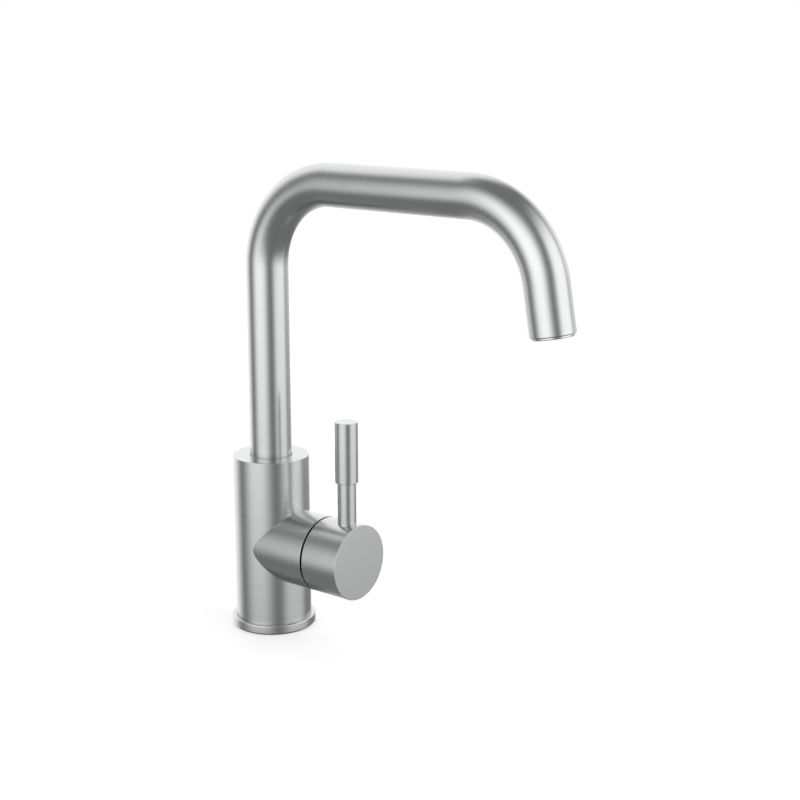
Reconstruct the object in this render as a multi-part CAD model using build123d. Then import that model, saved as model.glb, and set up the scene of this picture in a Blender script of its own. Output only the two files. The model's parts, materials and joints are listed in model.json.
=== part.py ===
from build123d import *
import math
import os

# Bathroom sink faucet in millimetres. The origin is the centre of the base on the deck surface.
# +Z runs up the riser, +X along the handle arm and the spout at rest, towards the user.

# Gaps on the radius for pressed, running and loose fits
PRESSED = 0.01
RUNNING = 0.05
LOOSE = 0.2

# Base on the deck
DECK_THICKNESS = 20.0
GASKET_THICKNESS = 0.8
GASKET_INSET = 0.8
FLANGE_DIAMETER = 51.0
FLANGE_HEIGHT = 5.2
FLANGE_LEDGE = 2.2
FLANGE_BORE = 36.0
FLANGE_EDGE = 0.8

# Valve body
BODY_DIAMETER = 46.0
BODY_TOP = 107.0
EDGE = 0.4
INLET_DRILL = 9.0
INLET_DEPTH = 12.0
INLET_X = -3.0
INLET_SPREAD = 19.0
INLET_PASSAGE = 5.6
INLET_PASSAGE_SPREAD = 16.0

# Under the deck
STUD_DIAMETER = 8.0
STUD_X = 11.0
STUD_DEPTH = 12.0
STUD_LENGTH = 70.0
CLAMP_DIAMETER = 54.0
CLAMP_SLOT = 33.0
CLAMP_SLOT_END = 4.5
CLAMP_SLOT_CORNER = 7.0
PAD_THICKNESS = 2.0
PLATE_THICKNESS = 3.0
NUT_FLATS = 13.0
NUT_HEIGHT = 6.5

# Arm and handle cap
ARM_HEIGHT = 52.5
ARM_DIAMETER = 45.0
ARM_END = 42.0
ARM_WALL = 1.5
ARM_HOLLOW = 9.0
LIP_BEVEL_RADIAL = 0.9
LIP_BEVEL_AXIAL = 1.8
SEAM = 1.3
CAP_LENGTH = 25.7
CAP_WALL = 1.5
CAP_END_THICKNESS = 9.5
CAP_RIM_CHAMFER = 0.5
CAP_FACE_CHAMFER = 0.5

# Handle lever
LEVER_SETBACK = 9.2
LEVER_NECK = 11.0
LEVER_GRIP = 13.6
GRIP_BOTTOM = 100.0
LEVER_TOP = 136.3
LEVER_THREAD = 6.0
LEVER_THREAD_LENGTH = 9.0
LEVER_BOSS = 13.0
GRIP_SPIGOT = 7.0
GRIP_SPIGOT_LENGTH = 20.0
HANDLE_SCREW = 4.0
HANDLE_SCREW_LENGTH = 8.0
HANDLE_SCREW_SETBACK = 6.0
HANDLE_SCREW_KEY = 2.0

# Handle motion: the pivot pin lies this far outside the cap's rim plane
PIVOT_SETBACK = 10.0
STEM_REACH = 9.0

# Cartridge, stacked from its seat in the arm outwards
CARTRIDGE_DIAMETER = 24.8
CARTRIDGE_WALL = 1.4
BASE_PLATE = 2.5
BASE_SPIGOT = 2.0
DISC_THICKNESS = 3.0
MOVING_DISC = 18.0
CLOSED_OFFSET = 1.4
CARRIER_PLATE = 4.0
BALL_RISE = 3.8
BALL_DIAMETER = 5.2
SOCKET_RIM = 1.0
SOCKET_BOSS = 9.0
SHOULDER_DEPTH = 8.0
SHOULDER_THICKNESS = 2.0
SHOULDER_DIAMETER = 27.2
NECK_DIAMETER = 24.0
ROTOR_FLANGE = 1.5
ROTOR_DIAMETER = 18.0
HOUSING_TOP = 2.0
ROTOR_ABOVE_PIN = 2.5
PIN_DIAMETER = 3.0
PIN_LENGTH = 17.0
STEM_SQUARE = 7.0
STEM_SOCKET_DEPTH = 7.0
STEM_WAIST = 3.6
STEM_SHOULDER = 4.0
STEM_WINDOW = 14.0
NUT_THREAD = 28.0
NUT_PROUD = 2.0
NUT_NOTCH = 4.0
BOSS_WALL = 1.8
BOSS_SETBACK = 2.0
INLET_PORT = 4.2
INLET_PORT_Y = 5.6
INLET_PORT_Z = 2.8
OUTLET_PORT_Z = -4.6
OUTLET_PORT = 4.2
SEAL_WIDTH = 1.3
SEAL_DEPTH = 1.5
POCKET_WIDTH = 14.0
POCKET_HEIGHT = 7.0
POCKET_TOP = 0.1
POCKET_CORNER = 3.0
POCKET_DEPTH = 1.5
OUTLET_RISER = 8.0
OUTLET_RISER_X = -7.0

# Spout
TUBE_DIAMETER = 25.0
TUBE_WALL = 1.2
RUN_HEIGHT = 271.5
BEND_RADIUS = 50.0
SPOUT_REACH = 198.8
END_TURN = 80.0
END_STRAIGHT = 26.6

# Spout socket in the top of the body
SOCKET_DEPTH = 39.0
SPIGOT_DIAMETER = 23.4
SPIGOT_FLANGE = 1.5
SPIGOT_BORE = 16.0
SPIGOT_CLEARANCE = 1.0
TUBE_INSERT = 14.0
INSERT_IN_TUBE = 13.0
THRUST_WASHER = 1.0
RING_WALL = 1.3
RING_HEIGHT = 5.8
RING_BELOW_TOP = 2.0
RING_SLIT = 1.0
O_RING_SECTION = 1.8
O_RING_HEIGHTS = (4.0, 10.0)
O_RING_GROOVE = 2.3
SCREW_DIAMETER = 5.0
SCREW_TIP = 3.8
SCREW_BELOW_TOP = 20.5
SCREW_RECESS = 0.8
SCREW_GROOVE_DEPTH = 1.5
SCREW_GROOVE = 4.4
SCREW_KEY = 2.5
SCREW_TIP_LENGTH = 2.8
HEX_DEPTH = 2.5

# Outlet end of the spout, measured along the outlet's own axis from the tube's end
FERRULE_LENGTH = 14.0
FERRULE_WALL = 1.3
FERRULE_RECESS = 0.5
AERATOR_LIP = 23.0
AERATOR_LIP_HEIGHT = 1.5
AERATOR_WALL = 1.1
AERATOR_DEPTH = 10.0
AERATOR_LEDGE = 0.6
AERATOR_LEDGE_HEIGHT = 0.8
SCREEN_THICKNESS = 0.6
INSERT_LENGTH = 8.5
WASHER_THICKNESS = 1.5
CHANNEL = 1.9
CHANNEL_PITCH = 2.5
SCREEN_HOLE = 1.0
SCREEN_PITCH = 1.4

# Places worked out from the sizes above
BODY_R = BODY_DIAMETER / 2
FLANGE_R = FLANGE_DIAMETER / 2
FLANGE_TOP = GASKET_THICKNESS + FLANGE_HEIGHT
BODY_BOTTOM = GASKET_THICKNESS + FLANGE_LEDGE
ARM_R = ARM_DIAMETER / 2
CAP_RIM = ARM_END + SEAM
CAP_FACE = CAP_RIM + CAP_LENGTH
CAP_FLOOR = CAP_FACE - CAP_END_THICKNESS
PIVOT_X = CAP_RIM + PIVOT_SETBACK
BALL_X = PIVOT_X - STEM_REACH
CARRIER_X = BALL_X - BALL_RISE - CARRIER_PLATE
MOVING_X = CARRIER_X - DISC_THICKNESS
FIXED_X = MOVING_X - DISC_THICKNESS
SPIGOT_X = FIXED_X - BASE_SPIGOT
SEAT_X = SPIGOT_X - BASE_PLATE
SHOULDER_X = SEAT_X + SHOULDER_DEPTH
SOCKET_MOUTH_X = BALL_X + SOCKET_RIM
ROTOR_X = SOCKET_MOUTH_X + LOOSE
HOUSING_TOP_X = ROTOR_X + ROTOR_FLANGE + RUNNING
HOUSING_END_X = HOUSING_TOP_X + HOUSING_TOP
ROTOR_END_X = PIVOT_X + ROTOR_ABOVE_PIN
BOSS_END_X = ARM_END - BOSS_SETBACK
NUT_END_X = BOSS_END_X + NUT_PROUD
CARTRIDGE_R = CARTRIDGE_DIAMETER / 2
CARTRIDGE_BORE_R = CARTRIDGE_R - CARTRIDGE_WALL
ROTOR_R = ROTOR_DIAMETER / 2
LEVER_X = CAP_FACE - LEVER_SETBACK
STEM_END_X = CAP_FLOOR + STEM_SOCKET_DEPTH
TUBE_R = TUBE_DIAMETER / 2
TUBE_BORE_R = TUBE_R - TUBE_WALL
SPIGOT_R = SPIGOT_DIAMETER / 2
TUBE_FOOT = BODY_TOP - TUBE_INSERT
SOCKET_STEP = TUBE_FOOT - SPIGOT_FLANGE - THRUST_WASHER
SOCKET_FLOOR = BODY_TOP - SOCKET_DEPTH
SPIGOT_FOOT = SOCKET_FLOOR + SPIGOT_CLEARANCE
SCREW_Z = BODY_TOP - SCREW_BELOW_TOP
PAD_TOP = -DECK_THICKNESS
PLATE_TOP = PAD_TOP - PAD_THICKNESS
NUT_TOP = PLATE_TOP - PLATE_THICKNESS

TURN = math.radians(END_TURN)
OUTLET_DIRECTION = (math.cos(TURN), 0, -math.sin(TURN))
RUN_LENGTH = SPOUT_REACH - BEND_RADIUS * (1 + math.sin(TURN)) - END_STRAIGHT * math.cos(TURN)
RUN_END_X = BEND_RADIUS + RUN_LENGTH
OUTLET_Z = RUN_HEIGHT - BEND_RADIUS * (1 - math.cos(TURN)) - END_STRAIGHT * math.sin(TURN)
OUTLET = Plane(origin=(SPOUT_REACH, 0, OUTLET_Z), x_dir=(0, 1, 0), z_dir=OUTLET_DIRECTION)

BASE = (Align.CENTER, Align.CENTER, Align.MIN)


def post(radius, z0, z1, x=0.0, y=0.0):
    """Round bar that stands between two heights."""
    return Pos(x, y, z0) * Cylinder(radius, z1 - z0, align=BASE)


def bar(radius, x0, x1, y=0.0, z=0.0):
    """Round bar along the arm, with z counted from the arm's axis."""
    return Pos(x0, y, ARM_HEIGHT + z) * Rot(0, 90, 0) * Cylinder(radius, x1 - x0, align=BASE)


def nozzle(radius, w0, w1):
    """Round bar on the outlet's axis, between two distances beyond the tube's end."""
    return OUTLET.location * Pos(0, 0, w0) * Cylinder(radius, w1 - w0, align=BASE)


def slab(x0, x1, width, z0, z1):
    """Block along the arm, centred on its plane, with z counted from the arm's axis."""
    middle = Pos((x0 + x1) / 2, 0, ARM_HEIGHT + (z0 + z1) / 2)
    return middle * Box(x1 - x0, width, z1 - z0)


def rim_edges(solid, axis, radius):
    """The round edges of one radius, in order along an axis."""
    circles = solid.edges().filter_by(GeomType.CIRCLE)
    return [e for e in circles.sort_by(axis) if abs(e.radius - radius) < 1e-4]


def hex_grid(pitch, limit):
    """Centres of a triangular grid that lie within a radius."""
    rows = int(limit / pitch) + 1
    places = []
    for row in range(-rows, rows + 1):
        for column in range(-rows, rows + 1):
            u = pitch * (column + 0.5 * (row % 2))
            v = pitch * row * math.sqrt(3) / 2
            if math.hypot(u, v) <= limit:
                places.append((u, v))
    return places


# Base and clamp

def deck_gasket():
    outer = FLANGE_R - GASKET_INSET
    return post(outer, 0, GASKET_THICKNESS) - post(FLANGE_BORE / 2, 0, GASKET_THICKNESS)


def base_flange():
    ring = post(FLANGE_R, GASKET_THICKNESS, FLANGE_TOP)
    ring = fillet(rim_edges(ring, Axis.Z, FLANGE_R)[-1], FLANGE_EDGE)
    ring -= post(FLANGE_BORE / 2, GASKET_THICKNESS, BODY_BOTTOM)
    return ring - post(BODY_R + RUNNING, BODY_BOTTOM, FLANGE_TOP)


def mounting_stud():
    top = BODY_BOTTOM + STUD_DEPTH
    rod = post(STUD_DIAMETER / 2, top - STUD_LENGTH, top, STUD_X)
    return chamfer(rim_edges(rod, Axis.Z, STUD_DIAMETER / 2), STUD_DIAMETER / 10)


def horseshoe(top, thickness):
    """Clamp plate outline: open towards the back, where the supply hoses come down."""
    length = CLAMP_DIAMETER + CLAMP_SLOT_END
    slot = RectangleRounded(length, CLAMP_SLOT, CLAMP_SLOT_CORNER)
    outline = Circle(CLAMP_DIAMETER / 2) - Pos(CLAMP_SLOT_END - length / 2, 0) * slot
    outline -= Pos(STUD_X, 0) * Circle(STUD_DIAMETER / 2 + LOOSE)
    return Pos(0, 0, top - thickness) * extrude(outline, thickness)


def clamp_nut():
    block = extrude(RegularPolygon(NUT_FLATS / 2, 6, major_radius=False), NUT_HEIGHT)
    block = Pos(STUD_X, 0, NUT_TOP - NUT_HEIGHT) * block
    return block - post(STUD_DIAMETER / 2 + RUNNING, NUT_TOP - NUT_HEIGHT, NUT_TOP, STUD_X)


# Valve body

def waterways():
    """Hot and cold passages up to the cartridge seat, and the mixed passage up to the spout."""
    inlet_z = BODY_BOTTOM + INLET_DEPTH
    cuts = []
    for side in (-1, 1):
        y_inlet = side * INLET_SPREAD / 2
        y_riser = side * INLET_PASSAGE_SPREAD / 2
        radius = INLET_PASSAGE / 2
        top = ARM_HEIGHT + INLET_PORT_Z
        cuts.append(post(INLET_DRILL / 2, BODY_BOTTOM, inlet_z, INLET_X, y_inlet))
        cuts.append(post(radius, inlet_z, top, INLET_X, y_riser))
        cuts.append(bar(INLET_PORT / 2, INLET_X, SEAT_X, side * INLET_PORT_Y, INLET_PORT_Z))
    foot = ARM_HEIGHT + OUTLET_PORT_Z
    cuts.append(bar(OUTLET_PORT / 2, OUTLET_RISER_X, SEAT_X, 0, OUTLET_PORT_Z))
    cuts.append(post(OUTLET_RISER / 2, foot, SOCKET_FLOOR, OUTLET_RISER_X))
    return cuts


def spout_socket():
    """Stepped bore for the spout's spigot, with the bearing ring's groove near the top."""
    ring_top = BODY_TOP - RING_BELOW_TOP
    ring_r = TUBE_R + RUNNING + RING_WALL + RUNNING
    return [
        post(TUBE_R + LOOSE, SOCKET_STEP, BODY_TOP),
        post(SPIGOT_R + RUNNING, SOCKET_FLOOR, SOCKET_STEP),
        post(ring_r, ring_top - RING_HEIGHT - 2 * RUNNING, ring_top),
        bar(SCREW_DIAMETER / 2 + RUNNING, -BODY_R, 0, 0, SCREW_Z - ARM_HEIGHT),
    ]


def cartridge_bore():
    """Seat, thread and hollow end of the arm, whose bevelled lip lets the cap's rim pass."""
    inner_r = ARM_R - ARM_WALL
    hollow_x = ARM_END - ARM_HOLLOW
    hollow = bar(inner_r, hollow_x, ARM_END) - bar(NUT_THREAD / 2 + BOSS_WALL, hollow_x, BOSS_END_X)
    bevel = Cone(inner_r, inner_r + LIP_BEVEL_RADIAL, LIP_BEVEL_AXIAL, align=BASE)
    return [
        hollow,
        Pos(ARM_END - LIP_BEVEL_AXIAL, 0, ARM_HEIGHT) * Rot(0, 90, 0) * bevel,
        bar(CARTRIDGE_R + LOOSE, SEAT_X, SHOULDER_X),
        bar(NUT_THREAD / 2, SHOULDER_X, BOSS_END_X),
    ]


def valve_body():
    column = post(BODY_R, BODY_BOTTOM, BODY_TOP)
    column = chamfer(rim_edges(column, Axis.Z, BODY_R)[-1], EDGE)
    body = column + bar(ARM_R, 0, ARM_END)
    body -= post(STUD_DIAMETER / 2 + RUNNING, BODY_BOTTOM, BODY_BOTTOM + STUD_DEPTH, STUD_X)
    for cut in waterways() + spout_socket() + cartridge_bore():
        body -= cut
    return body


# Cartridge

def port_places():
    """Hot, cold and mixed ports: place across the arm and diameter."""
    return [
        (-INLET_PORT_Y, INLET_PORT_Z, INLET_PORT),
        (INLET_PORT_Y, INLET_PORT_Z, INLET_PORT),
        (0, OUTLET_PORT_Z, OUTLET_PORT),
    ]


def cartridge_base():
    base = bar(CARTRIDGE_R, SEAT_X, SPIGOT_X) + bar(CARTRIDGE_BORE_R - RUNNING, SPIGOT_X, FIXED_X)
    for y, z, size in port_places():
        base -= bar(size / 2, SEAT_X, FIXED_X, y, z)
        base -= bar(size / 2 + SEAL_WIDTH, SEAT_X, SEAT_X + SEAL_DEPTH, y, z)
    return base


def port_seals():
    seals = []
    for y, z, size in port_places():
        ring = bar(size / 2 + SEAL_WIDTH - RUNNING, SEAT_X, SEAT_X + SEAL_DEPTH, y, z)
        seals.append(ring - bar(size / 2, SEAT_X, SEAT_X + SEAL_DEPTH, y, z))
    return Compound(seals)


def fixed_ceramic_disc():
    disc = bar(CARTRIDGE_BORE_R - RUNNING, FIXED_X, MOVING_X)
    for y, z, size in port_places():
        disc -= bar(size / 2, FIXED_X, MOVING_X, y, z)
    return disc


def moving_ceramic_disc():
    """At rest its pocket covers the mixed port only. It rises to bridge the inlet ports."""
    disc = bar(MOVING_DISC / 2, MOVING_X, CARRIER_X, 0, -CLOSED_OFFSET)
    outline = RectangleRounded(POCKET_HEIGHT, POCKET_WIDTH, POCKET_CORNER)
    pocket = Rot(0, 90, 0) * extrude(outline, POCKET_DEPTH)
    return disc - Pos(MOVING_X, 0, ARM_HEIGHT + POCKET_TOP - POCKET_HEIGHT / 2) * pocket


def disc_carrier():
    plate = bar(MOVING_DISC / 2, CARRIER_X, CARRIER_X + CARRIER_PLATE, 0, -CLOSED_OFFSET)
    boss = bar(SOCKET_BOSS / 2, CARRIER_X, SOCKET_MOUTH_X)
    floor_x = BALL_X - BALL_DIAMETER / 2 - RUNNING
    return plate + boss - bar(BALL_DIAMETER / 2 + RUNNING, floor_x, SOCKET_MOUTH_X)


def cartridge_housing():
    shell = bar(CARTRIDGE_R, SPIGOT_X, SHOULDER_X) + bar(NECK_DIAMETER / 2, SHOULDER_X, HOUSING_END_X)
    shell += bar(SHOULDER_DIAMETER / 2, SHOULDER_X, SHOULDER_X + SHOULDER_THICKNESS)
    shell -= bar(CARTRIDGE_BORE_R, SPIGOT_X, HOUSING_TOP_X)
    return shell - bar(ROTOR_R + RUNNING, HOUSING_TOP_X, HOUSING_END_X)


def bonnet_nut():
    """Threaded sleeve that holds the cartridge on its seat, with four key notches."""
    start = SHOULDER_X + SHOULDER_THICKNESS
    nut = bar(NUT_THREAD / 2 - RUNNING, start, NUT_END_X)
    nut -= bar(NECK_DIAMETER / 2 + RUNNING, start, NUT_END_X)
    for turn in (0, 90):
        notch = Rot(turn, 0, 0) * Box(NUT_PROUD, NUT_THREAD, NUT_NOTCH)
        nut -= Pos(NUT_END_X - NUT_PROUD / 2, 0, ARM_HEIGHT) * notch
    return nut


def stem_carrier():
    """Turning sleeve of the cartridge. The stem rocks in its window on the pivot pin."""
    sleeve = bar(CARTRIDGE_BORE_R - RUNNING, ROTOR_X, HOUSING_TOP_X - RUNNING)
    sleeve += bar(ROTOR_R, ROTOR_X, ROTOR_END_X)
    half = STEM_WINDOW / 2
    sleeve -= slab(ROTOR_X, ROTOR_END_X, STEM_SQUARE + 2 * RUNNING, -half, half)
    return sleeve - pin_bar(PIN_DIAMETER / 2 + PRESSED, ROTOR_DIAMETER)


def pin_bar(radius, length):
    """Round bar across the arm through the handle's tilt axis."""
    return Pos(PIVOT_X, 0, ARM_HEIGHT) * Rot(90, 0, 0) * Cylinder(radius, length)


def pivot_pin():
    return pin_bar(PIN_DIAMETER / 2, PIN_LENGTH)


# Handle

def control_stem():
    half = STEM_SQUARE / 2
    waist_end = PIVOT_X - STEM_SHOULDER
    stem = slab(waist_end, STEM_END_X, STEM_SQUARE, -half, half)
    stem += bar(STEM_WAIST / 2, BALL_X, waist_end)
    stem += Pos(BALL_X, 0, ARM_HEIGHT) * Sphere(BALL_DIAMETER / 2)
    return stem - pin_bar(PIN_DIAMETER / 2 + RUNNING, STEM_SQUARE)


def handle_cap():
    """Hollow towards the arm, solid at its face, with the stem's square hole in the middle."""
    cap = bar(ARM_R, CAP_RIM, CAP_FACE)
    rims = rim_edges(cap, Axis.X, ARM_R)
    cap = chamfer(rims[0], CAP_RIM_CHAMFER)
    cap = fillet(rim_edges(cap, Axis.X, ARM_R)[-1], CAP_FACE_CHAMFER)
    boss_foot = ARM_HEIGHT + ARM_R - CAP_WALL - LEVER_THREAD_LENGTH
    cavity = bar(ARM_R - CAP_WALL, CAP_RIM, CAP_FLOOR)
    cap -= cavity - post(LEVER_BOSS / 2, boss_foot, ARM_HEIGHT + ARM_R, LEVER_X)
    half = STEM_SQUARE / 2 + RUNNING
    cap -= slab(CAP_FLOOR, STEM_END_X + RUNNING, 2 * half, -half, half)
    cap -= post(LEVER_THREAD / 2 + RUNNING, boss_foot, ARM_HEIGHT + ARM_R, LEVER_X)
    screw_x = CAP_FACE - HANDLE_SCREW_SETBACK
    return cap - post(HANDLE_SCREW / 2 + RUNNING, ARM_HEIGHT - ARM_R, ARM_HEIGHT - half, screw_x)


def grub_screw(diameter, length, key):
    """Grub screw that stands on its tip, with a hexagon socket in its upper end."""
    screw = post(diameter / 2, 0, length)
    screw = chamfer(rim_edges(screw, Axis.Z, diameter / 2), diameter / 10)
    socket = extrude(RegularPolygon(key / 2, 6, major_radius=False), HEX_DEPTH)
    return screw - Pos(0, 0, length - HEX_DEPTH) * socket


def handle_set_screw():
    tip_z = ARM_HEIGHT - STEM_SQUARE / 2
    screw = grub_screw(HANDLE_SCREW, HANDLE_SCREW_LENGTH, HANDLE_SCREW_KEY)
    return Pos(CAP_FACE - HANDLE_SCREW_SETBACK, 0, tip_z) * Rot(180, 0, 0) * screw


def lever_rod():
    """Neck that sits on the cap's round side, with a thread below and the grip's spigot above."""
    saddle = bar(ARM_R, CAP_RIM, CAP_FACE)
    rod = post(LEVER_NECK / 2, ARM_HEIGHT, GRIP_BOTTOM, LEVER_X) - saddle
    thread_foot = ARM_HEIGHT + ARM_R - CAP_WALL - LEVER_THREAD_LENGTH + RUNNING
    rod += post(LEVER_THREAD / 2, thread_foot, GRIP_BOTTOM, LEVER_X)
    return rod + post(GRIP_SPIGOT / 2, GRIP_BOTTOM, GRIP_BOTTOM + GRIP_SPIGOT_LENGTH, LEVER_X)


def lever_grip():
    grip = post(LEVER_GRIP / 2, GRIP_BOTTOM, LEVER_TOP, LEVER_X)
    grip = chamfer(rim_edges(grip, Axis.Z, LEVER_GRIP / 2), EDGE)
    bore_top = GRIP_BOTTOM + GRIP_SPIGOT_LENGTH + RUNNING
    return grip - post(GRIP_SPIGOT / 2 + RUNNING, GRIP_BOTTOM, bore_top, LEVER_X)


# Spout

def spout_path():
    """Centre line: riser, quarter bend, level run, shorter bend and outlet end."""
    with BuildLine(Plane.XZ) as path:
        riser = Line((0, TUBE_FOOT), (0, RUN_HEIGHT - BEND_RADIUS))
        bend = JernArc(riser @ 1, riser % 1, BEND_RADIUS, -90)
        run = Line(bend @ 1, (RUN_END_X, RUN_HEIGHT))
        drop = JernArc(run @ 1, run % 1, BEND_RADIUS, -END_TURN)
        Line(drop @ 1, drop @ 1 + END_STRAIGHT * (drop % 1))
    return path.wire()


def spout_tube():
    path = spout_path()
    foot = Plane(origin=(0, 0, TUBE_FOOT), z_dir=(0, 0, 1))
    outside = sweep(foot * Circle(TUBE_R), path=path)
    return outside - sweep(foot * Circle(TUBE_BORE_R), path=path)


def o_ring_places():
    return [SPIGOT_FOOT + height for height in O_RING_HEIGHTS]


def spout_fitting():
    """Spigot brazed into the tube's foot, grooved for two rings and for the retaining screw."""
    flange_foot = TUBE_FOOT - SPIGOT_FLANGE
    spigot = post(SPIGOT_R, SPIGOT_FOOT, flange_foot) + post(TUBE_R, flange_foot, TUBE_FOOT)
    spigot += post(TUBE_BORE_R - RUNNING, TUBE_FOOT, TUBE_FOOT + INSERT_IN_TUBE)
    spigot -= post(SPIGOT_BORE / 2, SPIGOT_FOOT, TUBE_FOOT + INSERT_IN_TUBE)
    for height in o_ring_places():
        spigot -= groove(SPIGOT_R, O_RING_SECTION, height, O_RING_GROOVE)
    return spigot - groove(SPIGOT_R, SCREW_GROOVE_DEPTH, SCREW_Z, SCREW_GROOVE)


def groove(radius, depth, height, width):
    """Ring of material to cut from a vertical shaft, centred on a height."""
    z0 = height - width / 2
    z1 = height + width / 2
    return post(radius + depth, z0, z1) - post(radius - depth, z0, z1)


def spout_o_rings():
    radius = O_RING_SECTION / 2
    rings = [Pos(0, 0, z) * Torus(SPIGOT_R - radius, radius) for z in o_ring_places()]
    return Compound(rings)


def spout_thrust_washer():
    washer = post(TUBE_R, SOCKET_STEP, SOCKET_STEP + THRUST_WASHER)
    return washer - post(SPIGOT_R + RUNNING, SOCKET_STEP, SOCKET_STEP + THRUST_WASHER)


def spout_bearing_ring():
    """Slit plastic ring that snaps into the body's groove and guides the tube."""
    top = BODY_TOP - RING_BELOW_TOP - RUNNING
    inner_r = TUBE_R + RUNNING
    ring = post(inner_r + RING_WALL, top - RING_HEIGHT, top) - post(inner_r, top - RING_HEIGHT, top)
    slit = Pos(-inner_r - RING_WALL / 2, 0, top - RING_HEIGHT / 2)
    return ring - slit * Box(2 * RING_WALL, RING_SLIT, RING_HEIGHT)


def spout_retaining_screw():
    """Grub screw from the back of the body. Its tip runs in the spigot's groove."""
    tip_x = SPIGOT_R - SCREW_GROOVE_DEPTH + LOOSE
    length = BODY_R - SCREW_RECESS - tip_x
    thread = grub_screw(SCREW_DIAMETER, length - SCREW_TIP_LENGTH, SCREW_KEY)
    screw = Pos(0, 0, SCREW_TIP_LENGTH) * thread + post(SCREW_TIP / 2, 0, SCREW_TIP_LENGTH)
    return Pos(-tip_x, 0, SCREW_Z) * Rot(0, -90, 0) * screw


# Outlet end

def outlet_ferrule():
    outer = TUBE_BORE_R - RUNNING
    end = -FERRULE_RECESS
    ferrule = nozzle(outer, end - FERRULE_LENGTH, end)
    return ferrule - nozzle(outer - FERRULE_WALL, end - FERRULE_LENGTH, end)


def aerator_radius():
    """Outside of the aerator's barrel, which screws into the ferrule."""
    return TUBE_BORE_R - RUNNING - FERRULE_WALL - RUNNING


def aerator_housing():
    barrel_r = aerator_radius()
    bore_r = barrel_r - AERATOR_WALL
    lip_foot = AERATOR_LIP_HEIGHT
    housing = nozzle(barrel_r, -AERATOR_DEPTH, lip_foot) + nozzle(AERATOR_LIP / 2, LOOSE, lip_foot)
    housing -= nozzle(bore_r, -AERATOR_DEPTH, lip_foot - AERATOR_LEDGE_HEIGHT)
    return housing - nozzle(bore_r - AERATOR_LEDGE, -AERATOR_DEPTH, lip_foot)


def aerator_screen():
    """Perforated disc that lies on the housing's ledge."""
    foot = AERATOR_LIP_HEIGHT - AERATOR_LEDGE_HEIGHT
    radius = aerator_radius() - AERATOR_WALL - RUNNING
    screen = Pos(0, 0, foot - SCREEN_THICKNESS) * Cylinder(radius, SCREEN_THICKNESS, align=BASE)
    holes = [
        Pos(u, v, foot - SCREEN_THICKNESS) * Cylinder(SCREEN_HOLE / 2, SCREEN_THICKNESS, align=BASE)
        for u, v in hex_grid(SCREEN_PITCH, radius - AERATOR_LEDGE - SCREEN_HOLE)
    ]
    return OUTLET.location * (screen - holes)


def aerator_insert():
    """Flow straightener: a plug with a bundle of round channels."""
    foot = AERATOR_LIP_HEIGHT - AERATOR_LEDGE_HEIGHT - SCREEN_THICKNESS
    radius = aerator_radius() - AERATOR_WALL - RUNNING
    plug = Pos(0, 0, foot - INSERT_LENGTH) * Cylinder(radius, INSERT_LENGTH, align=BASE)
    channels = [
        Pos(u, v, foot - INSERT_LENGTH) * Cylinder(CHANNEL / 2, INSERT_LENGTH, align=BASE)
        for u, v in hex_grid(CHANNEL_PITCH, radius - CHANNEL)
    ]
    return OUTLET.location * (plug - channels)


def aerator_washer():
    radius = aerator_radius()
    head = -AERATOR_DEPTH - WASHER_THICKNESS
    return nozzle(radius, head, -AERATOR_DEPTH) - nozzle(radius - AERATOR_WALL, head, -AERATOR_DEPTH)


PIECES = {
    "deck_gasket": deck_gasket,
    "base_flange": base_flange,
    "mounting_stud": mounting_stud,
    "clamp_pad": lambda: horseshoe(PAD_TOP, PAD_THICKNESS),
    "clamp_plate": lambda: horseshoe(PLATE_TOP, PLATE_THICKNESS),
    "clamp_nut": clamp_nut,
    "valve_body": valve_body,
    "cartridge_base": cartridge_base,
    "port_seals": port_seals,
    "fixed_ceramic_disc": fixed_ceramic_disc,
    "moving_ceramic_disc": moving_ceramic_disc,
    "disc_carrier": disc_carrier,
    "cartridge_housing": cartridge_housing,
    "bonnet_nut": bonnet_nut,
    "stem_carrier": stem_carrier,
    "pivot_pin": pivot_pin,
    "control_stem": control_stem,
    "handle_cap": handle_cap,
    "handle_set_screw": handle_set_screw,
    "lever_rod": lever_rod,
    "lever_grip": lever_grip,
    "spout_tube": spout_tube,
    "spout_fitting": spout_fitting,
    "spout_o_rings": spout_o_rings,
    "spout_thrust_washer": spout_thrust_washer,
    "spout_bearing_ring": spout_bearing_ring,
    "spout_retaining_screw": spout_retaining_screw,
    "outlet_ferrule": outlet_ferrule,
    "aerator_housing": aerator_housing,
    "aerator_screen": aerator_screen,
    "aerator_insert": aerator_insert,
    "aerator_washer": aerator_washer,
}

os.makedirs("parts", exist_ok=True)
for node, make in PIECES.items():
    export_step(make(), f"parts/{node}.step")
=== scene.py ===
import json
import math

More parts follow.
